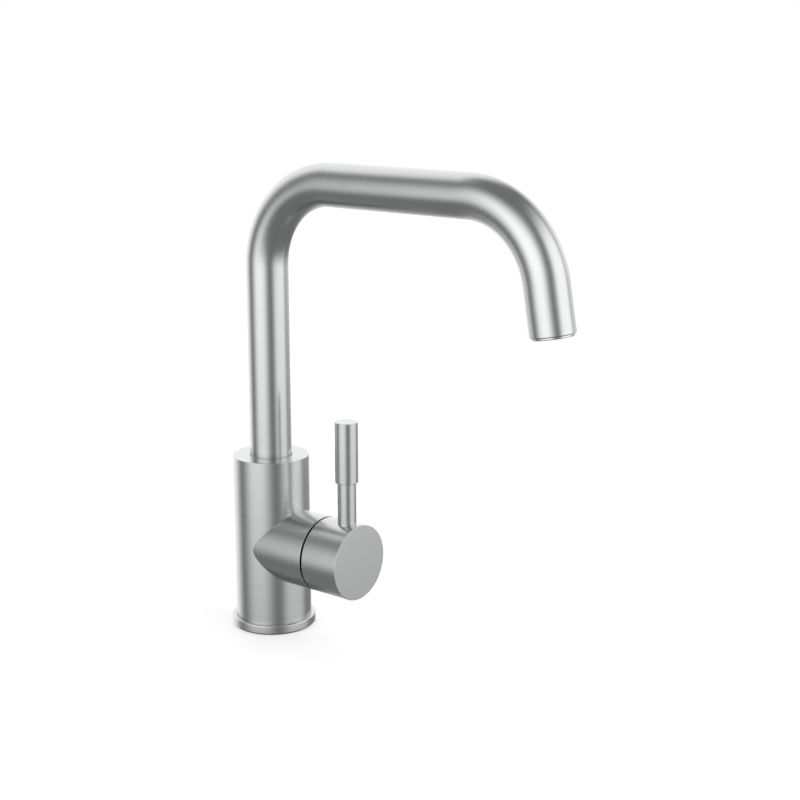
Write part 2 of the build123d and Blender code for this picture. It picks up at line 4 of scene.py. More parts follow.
import bmesh
import bpy
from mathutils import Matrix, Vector


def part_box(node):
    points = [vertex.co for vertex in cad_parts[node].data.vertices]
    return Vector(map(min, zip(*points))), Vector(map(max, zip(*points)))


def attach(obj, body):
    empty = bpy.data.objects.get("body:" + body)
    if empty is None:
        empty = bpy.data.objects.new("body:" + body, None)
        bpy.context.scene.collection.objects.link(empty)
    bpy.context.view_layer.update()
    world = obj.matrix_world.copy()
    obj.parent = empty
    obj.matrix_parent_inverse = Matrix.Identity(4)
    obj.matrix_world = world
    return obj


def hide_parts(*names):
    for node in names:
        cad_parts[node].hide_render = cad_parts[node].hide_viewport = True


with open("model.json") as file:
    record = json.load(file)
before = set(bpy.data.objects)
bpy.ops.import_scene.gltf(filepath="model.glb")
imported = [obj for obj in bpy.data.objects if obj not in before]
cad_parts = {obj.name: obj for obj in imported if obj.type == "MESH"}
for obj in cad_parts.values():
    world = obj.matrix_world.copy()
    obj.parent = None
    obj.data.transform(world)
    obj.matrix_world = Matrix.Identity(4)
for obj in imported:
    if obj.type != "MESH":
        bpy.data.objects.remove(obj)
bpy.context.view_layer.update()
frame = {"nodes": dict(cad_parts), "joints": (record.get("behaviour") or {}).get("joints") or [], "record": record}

bl_info = {
    "name": "Bathroom sink faucet",
    "version": (1, 0, 0),
    "blender": (4, 5, 0),
    "location": "View3D > Sidebar > Faucet",
    "description": "Models and finishes the pieces of a satin steel faucet around its frame",
    "category": "Object",
}

# Metres, in the frame's axes: +Z up the riser, +X along the handle arm and the spout
MM = 0.001
TOUCH = 0.02 * MM
FACETS = 192
TUBE_FACETS = 128
SMALL_FACETS = 64
STUD_FACETS = 32
BEND_STEPS = 56
OUTLET_BEND_STEPS = 50

# Gaps on the radius for running and loose fits
RUNNING = 0.05 * MM
LOOSE = 0.2 * MM

# Fine edges and countersinks
SOCKET_EDGE = 0.2 * MM
ARM_EDGE = 0.25 * MM
INLET_SINK = 0.6 * MM
BACK_HOLE_SINK = 0.4 * MM
RING_FOOT_EDGE = 0.3 * MM
SEAL_EDGE = 0.25 * MM
CAP_MOUTH_EDGE = 0.2 * MM
SCREW_HOLE_SINK = 0.3 * MM
OUTLET_EDGE = 0.4 * MM
OUTLET_FINE_EDGE = 0.15 * MM
STUD_EDGE = 0.5 * MM
THREAD_OVERLAP = 0.1 * MM
NUT_SINK = 0.5 * MM
NUT_CHAMFER = 0.6 * MM
PLATE_EDGE = 0.3 * MM
PAD_EDGE = 0.2 * MM

# Walls and reaches hidden inside
BOSS_WALL = 1.8 * MM
BOSS_SETBACK = 2 * MM
THREAD_SETBACK = 2 * MM
KEY_DEPTH = 2.5 * MM
BACK_KEY = 2.5 * MM
CAP_KEY = 2 * MM
TIP_LENGTH = 2.8 * MM
TIP_RADIUS = 1.9 * MM

# Depth of the stud's thread, as a share of its pitch
THREAD_DEPTH = 0.54

# Places read from the frame
BODY_LOW, BODY_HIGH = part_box("valve_body")
RING_LOW, RING_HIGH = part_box("base_flange")
SEAL_LOW, SEAL_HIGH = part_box("deck_gasket")
CAP_LOW, CAP_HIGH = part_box("handle_cap")
NECK_LOW, NECK_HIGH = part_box("lever_rod")
GRIP_LOW, GRIP_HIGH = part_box("lever_grip")
TUBE_LOW, TUBE_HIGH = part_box("spout_tube")
BEARING_LOW, BEARING_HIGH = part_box("spout_bearing_ring")
WASHER_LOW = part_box("spout_thrust_washer")[0]
FITTING_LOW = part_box("spout_fitting")[0]
SEAT_LOW, SEAT_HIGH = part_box("cartridge_base")
BONNET_LOW, BONNET_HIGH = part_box("bonnet_nut")
STEM_LOW, STEM_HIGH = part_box("control_stem")
STUD_LOW, STUD_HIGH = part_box("mounting_stud")
PAD_LOW, PAD_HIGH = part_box("clamp_pad")
PLATE_LOW, PLATE_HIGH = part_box("clamp_plate")
NUT_LOW, NUT_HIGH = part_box("clamp_nut")
BACK_SCREW_LOW, BACK_SCREW_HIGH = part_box("spout_retaining_screw")
CAP_SCREW_LOW, CAP_SCREW_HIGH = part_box("handle_set_screw")
AERATOR_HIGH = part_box("aerator_housing")[1]
AERATOR_SEAL_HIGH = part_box("aerator_washer")[1]
O_RING_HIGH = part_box("spout_o_rings")[1]

BODY_RADIUS = -BODY_LOW.x
BODY_TOP = BODY_HIGH.z
RING_RADIUS = RING_HIGH.x
SEAL_RADIUS = SEAL_HIGH.y
ARM_END = BODY_HIGH.x
ARM_HEIGHT = next(j["pos_m"][2] for j in frame["joints"] if j["name"] == "handle_turn")
ARM_RADIUS = ARM_HEIGHT - CAP_LOW.z
LEVER_X = (GRIP_LOW.x + GRIP_HIGH.x) / 2
GRIP_RADIUS = (GRIP_HIGH.x - GRIP_LOW.x) / 2
NECK_RADIUS = (NECK_HIGH.x - NECK_LOW.x) / 2
TUBE_RADIUS = -TUBE_LOW.x
RUN_HEIGHT = TUBE_HIGH.z - TUBE_RADIUS
STUD_X = (STUD_LOW.x + STUD_HIGH.x) / 2
STUD_RADIUS = (STUD_HIGH.x - STUD_LOW.x) / 2
BACK_SCREW_HEIGHT = (BACK_SCREW_LOW.z + BACK_SCREW_HIGH.z) / 2
BACK_SCREW_RADIUS = (BACK_SCREW_HIGH.z - BACK_SCREW_LOW.z) / 2
CAP_SCREW_X = (CAP_SCREW_LOW.x + CAP_SCREW_HIGH.x) / 2
CAP_SCREW_RADIUS = (CAP_SCREW_HIGH.x - CAP_SCREW_LOW.x) / 2

# Places and turns of what is made about Z and then laid along the arm or set off the axis
ARM_AXIS = (0, 0, ARM_HEIGHT)
ALONG_X = math.pi / 2
LEVER_AXIS = (LEVER_X, 0, 0)
STUD_AXIS = (STUD_X, 0, 0)


def length(name, description, default):
    """A size that a user may change, with its default in millimetres."""
    return bpy.props.FloatProperty(
        name=name, description=description, default=default * MM, min=0.0, unit="LENGTH", precision=5
    )


def tint(name, description, default):
    """A surface colour that a user may change."""
    return bpy.props.FloatVectorProperty(
        name=name, description=description, default=default, min=0.0, max=1.0, subtype="COLOR", size=3
    )


def share(name, description, default):
    """A share from none to all."""
    return bpy.props.FloatProperty(
        name=name, description=description, default=default, min=0.0, max=1.0, subtype="FACTOR"
    )


class FaucetSizes(bpy.types.PropertyGroup):
    """Sizes of the modelled pieces that the frame's boxes don't give"""

    bend_radius: length("Bend radius", "Centre line radius of both bends of the spout", 50.0)
    outlet_turn: bpy.props.FloatProperty(
        name="Outlet turn",
        description="How far the second bend turns the spout down",
        default=math.radians(80.0),
        subtype="ANGLE",
    )
    outlet_straight: length("Outlet length", "Straight end of the spout after its second bend", 26.6)
    tube_wall: length("Tube wall", "Wall of the spout tube", 1.2)
    tube_edge: length("Tube edge", "Rounding of the tube's cut ends", 0.3)
    outlet_lip: length("Outlet lip", "How far the aerator's lip stands below the tube", 1.5)
    outlet_depth: length("Outlet depth", "How far the aerator reaches up the tube", 10.0)
    outlet_wall: length("Outlet wall", "Wall of the aerator's housing", 1.1)
    outlet_ledge: length("Outlet ledge", "Width of the ledge that holds the aerator's screen", 0.6)
    ledge_height: length("Ledge height", "Thickness of the ledge at the aerator's mouth", 0.8)
    body_edge: length("Body edge", "Rounding round the top of the body", 0.4)
    ring_edge: length("Base ring edge", "Rounding round the top of the base ring", 0.8)
    ring_bore: length("Base ring bore", "Radius of the hole through the base ring", 18.0)
    arm_wall: length("Arm wall", "Wall of the arm round its hollow end", 1.5)
    arm_hollow: length("Arm hollow", "Depth of the hollow end of the arm", 9.0)
    lip_bevel_radial: length("Lip bevel, radial", "Width of the bevel inside the arm's lip", 0.9)
    lip_bevel_axial: length("Lip bevel, axial", "Length of the bevel inside the arm's lip", 1.8)
    cap_wall: length("Cap wall", "Wall of the handle cap", 1.5)
    cap_end: length("Cap end", "Thickness of the handle cap's closed end", 9.5)
    cap_rim: length("Cap rim edge", "Rounding round the cap's open rim", 0.5)
    cap_face: length("Cap face edge", "Rounding round the cap's face", 0.3)
    lever_boss: length("Lever boss", "Radius of the boss that holds the lever inside the cap", 6.5)
    lever_thread: length("Lever thread", "Radius of the lever's thread", 3.0)
    grip_edge: length("Grip edge", "Rounding at both ends of the lever's grip", 0.4)
    grip_spigot: length("Grip spigot", "Radius of the neck's spigot inside the grip", 3.5)
    thread_pitch: length("Stud pitch", "Pitch of the mounting stud's thread", 1.25)
    slot_width: length("Clamp slot", "Width of the clamp's slot for the hoses", 33.0)
    slot_end: length("Clamp slot end", "Where the clamp's slot ends, ahead of the centre", 4.5)
    slot_corner: length("Clamp slot corner", "Radius in the corners of the clamp's slot", 7.0)


class FaucetFinish(bpy.types.PropertyGroup):
    """Colours and gloss of the surfaces"""

    steel: tint("Satin steel", "Reflected colour of the satin steel", (0.59, 0.605, 0.60))
    steel_roughness: share("Satin roughness", "Roughness of the satin steel", 0.26)
    grain: share("Grain", "Strength of the brushed grain", 0.33)
    zinc: tint("Zinc", "Colour of the zinc plated fixings", (0.58, 0.60, 0.63))
    bare_steel: tint("Bare steel", "Colour of the plain screws", (0.42, 0.42, 0.43))
    brass: tint("Brass", "Colour of the turned brass", (0.80, 0.60, 0.28))
    rubber: tint("Rubber", "Colour of the seals", (0.025, 0.025, 0.027))
    acetal: tint("White plastic", "Colour of the white bearing plastic", (0.78, 0.78, 0.75))
    nylon: tint("Grey plastic", "Colour of the cartridge", (0.16, 0.17, 0.19))
    ceramic: tint("Ceramic", "Colour of the lapped discs", (0.82, 0.80, 0.76))
    floor: tint("Floor", "Colour of the studio floor", (0.93, 0.93, 0.93))
    floor_lift: share("Floor lift", "Light that the camera alone sees on the floor", 0.45)


# Modelling by hand tools

def start_clean():
    """Object mode with nothing selected."""
    if bpy.context.mode != "OBJECT":
        bpy.ops.object.mode_set(mode="OBJECT")
    bpy.ops.object.select_all(action="DESELECT")


def choose(piece):
    """Makes one piece the only one selected, and active."""
    start_clean()
    piece.select_set(True)
    bpy.context.view_layer.objects.active = piece


def edit(piece):
    """Edit mode on one piece by its points, with nothing of it selected."""
    choose(piece)
    bpy.ops.object.mode_set(mode="EDIT")
    bpy.ops.mesh.select_mode(type="VERT")
    bpy.ops.mesh.select_all(action="DESELECT")


def pick(piece, mode, wanted):
    """Selects what passes a test, of the edges or the faces of the piece being edited."""
    bpy.ops.mesh.select_mode(type=mode)
    mesh = bmesh.from_edit_mesh(piece.data)
    for part in mesh.edges if mode == "EDGE" else mesh.faces:
        part.select_set(wanted(part))
    bmesh.update_edit_mesh(piece.data)


def bevel(piece, wanted, width, segments, **how):
    """Bevels the edges of a piece that pass a test."""
    edit(piece)
    pick(piece, "EDGE", wanted)
    bpy.ops.mesh.bevel(offset=width, segments=segments, affect="EDGES", **how)
    start_clean()


def set_place(piece):
    """Moves the piece's place and turn into its mesh, so that its object sits at the origin."""
    choose(piece)
    bpy.ops.object.transform_apply(location=True, rotation=True, scale=True)


def apply_modifier(piece, kind, **settings):
    """Adds a modifier with its settings, and applies it."""
    choose(piece)
    bpy.ops.object.modifier_add(type=kind)
    modifier = piece.modifiers[-1]
    for name, value in settings.items():
        setattr(modifier, name, value)
    bpy.ops.object.modifier_apply(modifier=modifier.name)


def start_ring(name, radius, height, facets):
    """A new piece that is one level ring of edges about Z, open for editing and all selected."""
    start_clean()
    bpy.ops.mesh.primitive_circle_add(
        vertices=facets, radius=radius, location=(0, 0, height), fill_type="NOTHING"
    )
    piece = bpy.context.object
    piece.name = name
    piece.data.name = name
    set_place(piece)
    edit(piece)
    bpy.ops.mesh.select_all(action="SELECT")
    return piece


def draw_out(way):
    """Extrudes the selected edges along a way."""
    bpy.ops.mesh.extrude_edges_move(TRANSFORM_OT_translate={"value": way})


def weld():
    """Joins the points that meet in the piece being edited."""
    bpy.ops.mesh.select_all(action="SELECT")
    bpy.ops.mesh.remove_doubles(threshold=TOUCH / 4)


def close_ends():
    """Puts a disc or a cap over each open end of the piece being edited."""
    bpy.ops.mesh.select_all(action="SELECT")
    bpy.ops.mesh.fill_holes(sides=0)


def face_outwards():
    """Turns all faces of the piece being edited outwards, and ends the editing."""
    bpy.ops.mesh.select_all(action="SELECT")
    bpy.ops.mesh.normals_make_consistent(inside=False)
    start_clean()


def turned(name, outline, facets=FACETS, joined=False):
    """A piece turned about Z: a ring of edges drawn out along (radius, height) points.

    A joined outline comes back to its start, as on a ring. Any other is closed by a disc at each end.
    """
    radius, height = outline[0]
    piece = start_ring(name, radius, height, facets)
    for next_radius, next_height in outline[1:] + ([outline[0]] if joined else []):
        draw_out((0, 0, next_height - height))
        grow = next_radius / radius
        bpy.ops.transform.resize(value=(grow, grow, 1), center_override=(0, 0, 0))
        radius, height = next_radius, next_height
    if joined:
        weld()
    else:
        close_ends()
    face_outwards()
    return piece


def soften(piece, corners, width, segments=3):
    """Bevels the turned edges that run through (radius, height) corners."""
    def on_corner(point, corner):
        radius = math.hypot(point.x, point.y)
        return abs(radius - corner[0]) < TOUCH and abs(point.z - corner[1]) < TOUCH

    def runs_through(edge):
        return any(all(on_corner(v.co, corner) for v in edge.verts) for corner in corners)

    bevel(piece, runs_through, width, segments, clamp_overlap=True)


def place(piece, location=(0, 0, 0), tilt=0.0):
    """Turns a finished piece about Y by a tilt, then puts it at a place."""
    piece.rotation_euler = (0, tilt, 0)
    piece.location = location
    set_place(piece)


def combine(piece, tool, operation):
    """Joins a tool solid to the piece, cuts it out or keeps what both hold, and deletes the tool."""
    apply_modifier(piece, "BOOLEAN", operation=operation, object=tool, solver="EXACT")
    bpy.data.objects.remove(tool)


def cut_round(piece, name, outline, location=(0, 0, 0), tilt=0.0, facets=SMALL_FACETS):
    """Cuts a hole out of a piece: a turned outline, turned about Y by a tilt and put at a place."""
    cutter = turned(name, outline, facets)
    place(cutter, location, tilt)
    combine(piece, cutter, "DIFFERENCE")


def sunk_hole(radius, sink, mouth, end):
    """The outline of a hole that is countersunk at its mouth, from below the mouth up to its end."""
    wide = radius + sink
    return [(wide, mouth - MM), (wide, mouth), (radius, mouth + sink), (radius, end)]


def block(name, size, centre):
    """A square block, used as a cutter."""
    start_clean()
    bpy.ops.mesh.primitive_cube_add(size=1, location=centre)
    piece = bpy.context.object
    piece.name = name
    piece.scale = size
    set_place(piece)
    return piece


def hexagon(name, flats, long, middle, turn=0.0):
    """A hexagonal prism about Z, by its width across flats, its length and the height of its middle."""
    start_clean()
    bpy.ops.mesh.primitive_cylinder_add(
        vertices=6, radius=flats / math.sqrt(3), depth=long, location=(0, 0, middle), rotation=(0, 0, turn)
    )
    piece = bpy.context.object
    piece.name = name
    piece.data.name = name
    set_place(piece)
    return piece


def count_open_edges(piece):
    """How many edges of a piece don't join exactly two faces."""
    mesh = bmesh.new()
    mesh.from_mesh(piece.data)
    number = sum(not edge.is_manifold for edge in mesh.edges)
    mesh.free()
    return number


def dress(piece, body, node, slot, *materials):
    """Shades a closed piece, gives it its materials and ties it to the frame in a node's place."""
    open_edges = count_open_edges(piece)
    if open_edges:
        raise RuntimeError(f"{piece.name} has {open_edges} edges that don't join two faces")
    choose(piece)
    bpy.ops.object.shade_smooth_by_angle(angle=math.radians(40), keep_sharp_edges=True)
    apply_modifier(piece, "WEIGHTED_NORMAL", keep_sharp=True, weight=50, mode="FACE_AREA_WITH_ANGLE")
    for material in materials:
        piece.data.materials.append(material)
    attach(piece, body)
    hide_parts(node)
    return piece


# Finishes

def add_node(tree, kind, inputs=(), **settings):
    """A shader node with its own settings and plain input values."""
    node = tree.nodes.new(kind)
    for name, value in settings.items():
        setattr(node, name, value)
    for name, value in dict(inputs).items():
        node.inputs[name].default_value = value
    return node


def add_math(tree, operation, first, second=None):
    """A Math node fed by links or plain numbers, and its output."""
    node = add_node(tree, "ShaderNodeMath", operation=operation)
    for socket, value in zip(node.inputs, (first, second)):
        if isinstance(value, bpy.types.NodeSocket):
            tree.links.new(value, socket)
        elif value is not None:
            socket.default_value = value
    return node.outputs[0]


def add_range(tree, value, from_low, from_high, to_low=0.0, to_high=1.0, kind="LINEAR"):
    """A Map Range node on a linked value, and its output."""
    ends = {"From Min": from_low, "From Max": from_high, "To Min": to_low, "To Max": to_high}
    node = add_node(tree, "ShaderNodeMapRange", ends, interpolation_type=kind)
    tree.links.new(value, node.inputs["Value"])
    return node.outputs["Result"]


def add_noise(tree, position, scale, detail, rough=0.5):
    """A noise over a position, stretched by a scale for each axis."""
    mapping = add_node(tree, "ShaderNodeMapping", {"Scale": scale})
    noise = add_node(tree, "ShaderNodeTexNoise", {"Scale": 1.0, "Detail": detail, "Roughness": rough})
    tree.links.new(position, mapping.inputs["Vector"])
    tree.links.new(mapping.outputs["Vector"], noise.inputs["Vector"])
    return noise.outputs["Fac"]


def start_material(name):
    """A new material with only its output and a Principled shader."""
    material = bpy.data.materials.new(name)
    material.use_nodes = True
    tree = material.node_tree
    tree.nodes.clear()
    output = tree.nodes.new("ShaderNodeOutputMaterial")
    shader = tree.nodes.new("ShaderNodeBsdfPrincipled")
    tree.links.new(shader.outputs["BSDF"], output.inputs["Surface"])
    return material, tree, shader


def shared_group(name, shares, fill):
    """A node group that makes a mask and a height from a position, filled when it is first asked for."""
    if name in bpy.data.node_groups:
        return bpy.data.node_groups[name]
    group = bpy.data.node_groups.new(name, "ShaderNodeTree")
    add_socket = group.interface.new_socket
    add_socket("Position", in_out="INPUT", socket_type="NodeSocketVector")
    for label, default in shares.items():
        add_socket(label, in_out="INPUT", socket_type="NodeSocketFloat").default_value = default
    for label in ("Mask", "Height"):
        add_socket(label, in_out="OUTPUT", socket_type="NodeSocketFloat")
    fill(group, group.nodes.new("NodeGroupInput").outputs, group.nodes.new("NodeGroupOutput").inputs)
    return group


def add_shares(group, given, values):
    """The sum of two values, each times the group's input of its name."""
    parts = [add_math(group, "MULTIPLY", value, given[label]) for label, value in values.items()]
    return add_math(group, "ADD", *parts)


# How often the noise changes in a metre. The hairlines' last number is across them
FINE_LINES = (50, 50, 2600)
WIDE_LINES = (28, 28, 620)
CLOUDS = (160, 160, 160)
SPECKS = (2600, 2600, 2600)

# How much of the distance from the axis counts as height, so that a flat end shows rings
RING_SHARE = 1.7

# The narrow band of the noise that shows, so that the lines are dense and none of them stands out
HAZE_BAND = (0.43, 0.57)


def fill_hairlines(group, given, made):
    """Hairlines that run round the Z axis on a side, and in rings about it on a flat end."""
    link = group.links.new
    parts = add_node(group, "ShaderNodeSeparateXYZ")
    link(given["Position"], parts.inputs["Vector"])
    x, y, z = parts.outputs
    squares = [add_math(group, "MULTIPLY", side, side) for side in (x, y)]
    across = add_math(group, "SQRT", add_math(group, "ADD", *squares))
    rings = add_math(group, "ADD", z, add_math(group, "MULTIPLY", across, RING_SHARE))
    place = add_node(group, "ShaderNodeCombineXYZ")
    for value, socket in zip((x, y, rings), place.inputs):
        link(value, socket)
    fine = add_noise(group, place.outputs["Vector"], FINE_LINES, 3.0, 0.6)
    wide = add_noise(group, place.outputs["Vector"], WIDE_LINES, 3.0, 0.55)
    both = add_math(group, "MULTIPLY", add_math(group, "ADD", fine, wide), 0.5)
    link(add_range(group, both, *HAZE_BAND), made["Mask"])
    link(add_shares(group, given, {"Hairlines": fine, "Streaks": wide}), made["Height"])


def fill_mottle(group, given, made):
    """Cloudy and fine unevenness together, as on moulded, plated and lapped surfaces."""
    clouds = add_noise(group, given["Position"], CLOUDS, 3.0)
    specks = add_noise(group, given["Position"], SPECKS, 2.0)
    mask = add_shares(group, given, {"Clouds": clouds, "Specks": specks})
    for socket in (made["Mask"], made["Height"]):
        group.links.new(mask, socket)


# The kinds of unevenness: the group, the span of its mask that shows, how far the roughness spreads over
# that span to either side, and the depth of the relief
HAIRLINES = {
    "group": ("Brushed grain", {"Hairlines": 1.0, "Streaks": 0.4}, fill_hairlines),
    "span": (0, 1),
    "spread": 0.0135,
    "depth": 0.02 * MM,
}
MOTTLE = {
    "group": ("Mottle", {"Clouds": 0.6, "Specks": 0.4}, fill_mottle),
    "span": (0.3, 0.7),
    "spread": 0.08,
    "depth": 0.05 * MM,
}

# Share of the colour that the hairlines change
HAZE_CHANGE = 0.013

# The surfaces: kind of unevenness, colour, metal or not, roughness, share of the colour that changes,
# strength of the relief
SURFACES = {
    "turned_brass": (HAIRLINES, "brass", 1.0, 0.28, HAZE_CHANGE, 0.4),
    "turned_steel": (HAIRLINES, "bare_steel", 1.0, 0.34, HAZE_CHANGE, 0.5),
    "zinc_plate": (MOTTLE, "zinc", 1.0, 0.36, 0.08, 0.25),
    "seal_rubber": (MOTTLE, "rubber", 0.0, 0.6, 0.25, 0.35),
    "bearing_acetal": (MOTTLE, "acetal", 0.0, 0.42, 0.03, 0.12),
    "cartridge_nylon": (MOTTLE, "nylon", 0.0, 0.46, 0.12, 0.3),
    "lapped_ceramic": (MOTTLE, "ceramic", 0.0, 0.2, 0.02, 0.05),
}

# Surface of the frame's own parts, by the name of the colour that they bring along
INNER_SURFACES = {
    "screw_steel": "turned_steel",
    "brass": "turned_brass",
    "black_rubber": "seal_rubber",
    "white_plastic": "bearing_acetal",
    "grey_plastic": "cartridge_nylon",
    "ceramic": "lapped_ceramic",
}

# Where the hairlines of the satin steel run
SATIN_WAYS = {
    "upright": {},
    "along_arm": {"turn": (0, ALONG_X, 0), "centre": ARM_AXIS},
    "on_lever": {"centre": LEVER_AXIS},
    "on_tube": {"attribute": "unbent"},
}


def make_surface(
    name, kind, color, metallic, roughness, change, relief,
    turn=(0, 0, 0), centre=(0, 0, 0), attribute=None,
):
    """A material uneven in one way, about a turned axis through a centre or by an attribute's places."""
    if name in bpy.data.materials:
        return bpy.data.materials[name]
    material, tree, shader = start_material(name)
    link = tree.links.new
    shader.inputs["Metallic"].default_value = metallic
    if attribute:
        source = add_node(tree, "ShaderNodeAttribute", attribute_name=attribute).outputs["Vector"]
    else:
        source = add_node(tree, "ShaderNodeTexCoord").outputs["Object"]
    ends = {"Rotation": turn, "Location": centre}
    mapping = add_node(tree, "ShaderNodeMapping", ends, vector_type="TEXTURE")
    link(source, mapping.inputs["Vector"])
    uneven = add_node(tree, "ShaderNodeGroup", node_tree=shared_group(*kind["group"]))
    link(mapping.outputs["Vector"], uneven.inputs["Position"])
    mask = uneven.outputs["Mask"]
    ramp = tree.nodes.new("ShaderNodeValToRGB")
    for stop, position, scale in zip(ramp.color_ramp.elements, kind["span"], (1 - change, 1 + change)):
        stop.position = position
        stop.color = (*(channel * scale for channel in color), 1)
    link(mask, ramp.inputs["Fac"])
    link(ramp.outputs["Color"], shader.inputs["Base Color"])
    rough = add_range(tree, mask, *kind["span"], roughness - kind["spread"], roughness + kind["spread"])
    link(rough, shader.inputs["Roughness"])
    bump = add_node(tree, "ShaderNodeBump", {"Strength": relief, "Distance": kind["depth"]})
    link(uneven.outputs["Height"], bump.inputs["Height"])
    link(bump.outputs["Normal"], shader.inputs["Normal"])
    return material


def satin(finish, way, **lines):
    """Satin steel with its hairlines one of the known ways, or round a turned and moved axis."""
    look = (finish.steel, 1.0, finish.steel_roughness, HAZE_CHANGE, finish.grain)
    return make_surface(f"satin_steel_{way}", HAIRLINES, *look, **(lines or SATIN_WAYS[way]))


def surface(finish, name):
    """One of the other surfaces, by its name."""
    kind, color, *look = SURFACES[name]
    return make_surface(name, kind, getattr(finish, color), *look)


# Pieces

def make_valve_body(sizes, finish):
    """Column and arm in one, with the spout's socket, the cartridge's bore and the inlets."""
    body = turned("faucet_body", [(BODY_RADIUS, BODY_LOW.z), (BODY_RADIUS, BODY_TOP)])
    soften(body, [(BODY_RADIUS, BODY_TOP)], sizes.body_edge)
    arm = turned("arm", [(ARM_RADIUS, 0.0), (ARM_RADIUS, ARM_END)])
    soften(arm, [(ARM_RADIUS, ARM_END)], ARM_EDGE)
    place(arm, ARM_AXIS, ALONG_X)
    combine(body, arm, "UNION")
    cut_round(body, "socket", socket_outline(), facets=FACETS)
    cut_round(body, "cartridge_bore", cartridge_outline(sizes), ARM_AXIS, ALONG_X, FACETS)
    for mount in frame["record"]["mounts"]:
        if mount["kind"] == "threaded_hole":
            cut_inlet(body, mount)
    radius = STUD_RADIUS + RUNNING
    cut_round(body, "stud_hole", [(radius, BODY_LOW.z - MM), (radius, STUD_HIGH.z)], STUD_AXIS)
    radius = BACK_SCREW_RADIUS + RUNNING
    outline = [
        (radius, -BACK_SCREW_HIGH.x - MM),
        (radius, BODY_RADIUS - BACK_HOLE_SINK * 3 / 4),
        (radius + BACK_HOLE_SINK, BODY_RADIUS + BACK_HOLE_SINK / 4),
        (radius + BACK_HOLE_SINK, BODY_RADIUS + MM),
    ]
    cut_round(body, "back_hole", outline, (0, 0, BACK_SCREW_HEIGHT), -ALONG_X)

    # The edge where column and arm meet is sharp, though in part its angle is too small to tell
    def on_saddle(edge):
        return all(
            abs(math.hypot(v.co.y, v.co.z - ARM_HEIGHT) - ARM_RADIUS) < TOUCH
            and abs(math.hypot(v.co.x, v.co.y) - BODY_RADIUS) < 2 * TOUCH
            for v in edge.verts
        )

    def on_arm(face):
        centre = face.calc_center_median()
        return math.hypot(centre.x, centre.y) > BODY_RADIUS + TOUCH and centre.x > 0

    edit(body)
    pick(body, "EDGE", on_saddle)
    bpy.ops.mesh.mark_sharp()
    start_clean()
    steels = (satin(finish, "upright"), satin(finish, "along_arm"))
    dress(body, "body", "valve_body", "brushed_steel", *steels)
    edit(body)
    pick(body, "FACE", on_arm)
    body.active_material_index = 1
    bpy.ops.object.material_slot_assign()
    start_clean()


def socket_outline():
    """The stepped bore for the spout's spigot, with the bearing ring's groove and a broken edge."""
    spigot = O_RING_HIGH.x + RUNNING
    tube = TUBE_RADIUS + LOOSE
    groove = BEARING_HIGH.x + RUNNING
    return [
        (spigot, FITTING_LOW.z - MM),
        (spigot, WASHER_LOW.z),
        (tube, WASHER_LOW.z),
        (tube, BEARING_LOW.z),
        (groove, BEARING_LOW.z),
        (groove, BEARING_HIGH.z + RUNNING),
        (tube, BEARING_HIGH.z + RUNNING),
        (tube, BODY_TOP - SOCKET_EDGE),
        (tube + SOCKET_EDGE, BODY_TOP),
        (tube + SOCKET_EDGE, BODY_TOP + MM),
    ]


def cartridge_outline(sizes):
    """The cartridge's bore, its nut's thread and the hollow round the nut's boss, with a bevelled lip."""
    bore = SEAT_HIGH.y + LOOSE
    thread = BONNET_HIGH.y + RUNNING
    shoulder = BONNET_LOW.x - THREAD_SETBACK
    boss_end = BONNET_HIGH.x - BOSS_SETBACK
    boss = thread + BOSS_WALL
    inner = ARM_RADIUS - sizes.arm_wall
    lip = inner + sizes.lip_bevel_radial
    return [
        (bore, SEAT_LOW.x),
        (bore, shoulder),
        (thread, shoulder),
        (thread, boss_end),
        (boss, boss_end),
        (boss, ARM_END - sizes.arm_hollow),
        (inner, ARM_END - sizes.arm_hollow),
        (inner, ARM_END - sizes.lip_bevel_axial),
        (lip, ARM_END),
        (lip, ARM_END + MM),
    ]


def cut_inlet(body, mount):
    """Cuts one hose's tapped hole, with a countersunk mouth."""
    x, y, middle = mount["pos_m"]
    radius = mount["dims"]["r_mm"] * MM
    depth = mount["dims"]["length_mm"] * MM
    mouth = middle - depth / 2
    cut_round(body, "inlet", sunk_hole(radius, INLET_SINK, mouth, mouth + depth), (x, y, 0))


def make_base_ring(sizes, finish):
    """The ring round the body's foot, rounded at its top."""
    seat = BODY_RADIUS + RUNNING
    outline = [
        (sizes.ring_bore, RING_LOW.z),
        (RING_RADIUS, RING_LOW.z),
        (RING_RADIUS, RING_HIGH.z),
        (seat, RING_HIGH.z),
        (seat, BODY_LOW.z),
        (sizes.ring_bore, BODY_LOW.z),
    ]
    ring = turned("base_ring", outline, joined=True)
    soften(ring, [(RING_RADIUS, RING_HIGH.z)], sizes.ring_edge, segments=5)
    soften(ring, [(RING_RADIUS, RING_LOW.z)], RING_FOOT_EDGE)
    dress(ring, "body", "base_flange", "brushed_steel", satin(finish, "upright"))


def make_base_seal(sizes, finish):
    """The thin rubber ring between the base ring and the deck."""
    outline = [
        (sizes.ring_bore, SEAL_LOW.z),
        (SEAL_RADIUS, SEAL_LOW.z),
        (SEAL_RADIUS, SEAL_HIGH.z),
        (sizes.ring_bore, SEAL_HIGH.z),
    ]
    seal = turned("base_seal", outline, joined=True)
    soften(seal, [(SEAL_RADIUS, SEAL_LOW.z), (SEAL_RADIUS, SEAL_HIGH.z)], SEAL_EDGE)
    dress(seal, "body", "deck_gasket", "black_rubber", surface(finish, "seal_rubber"))


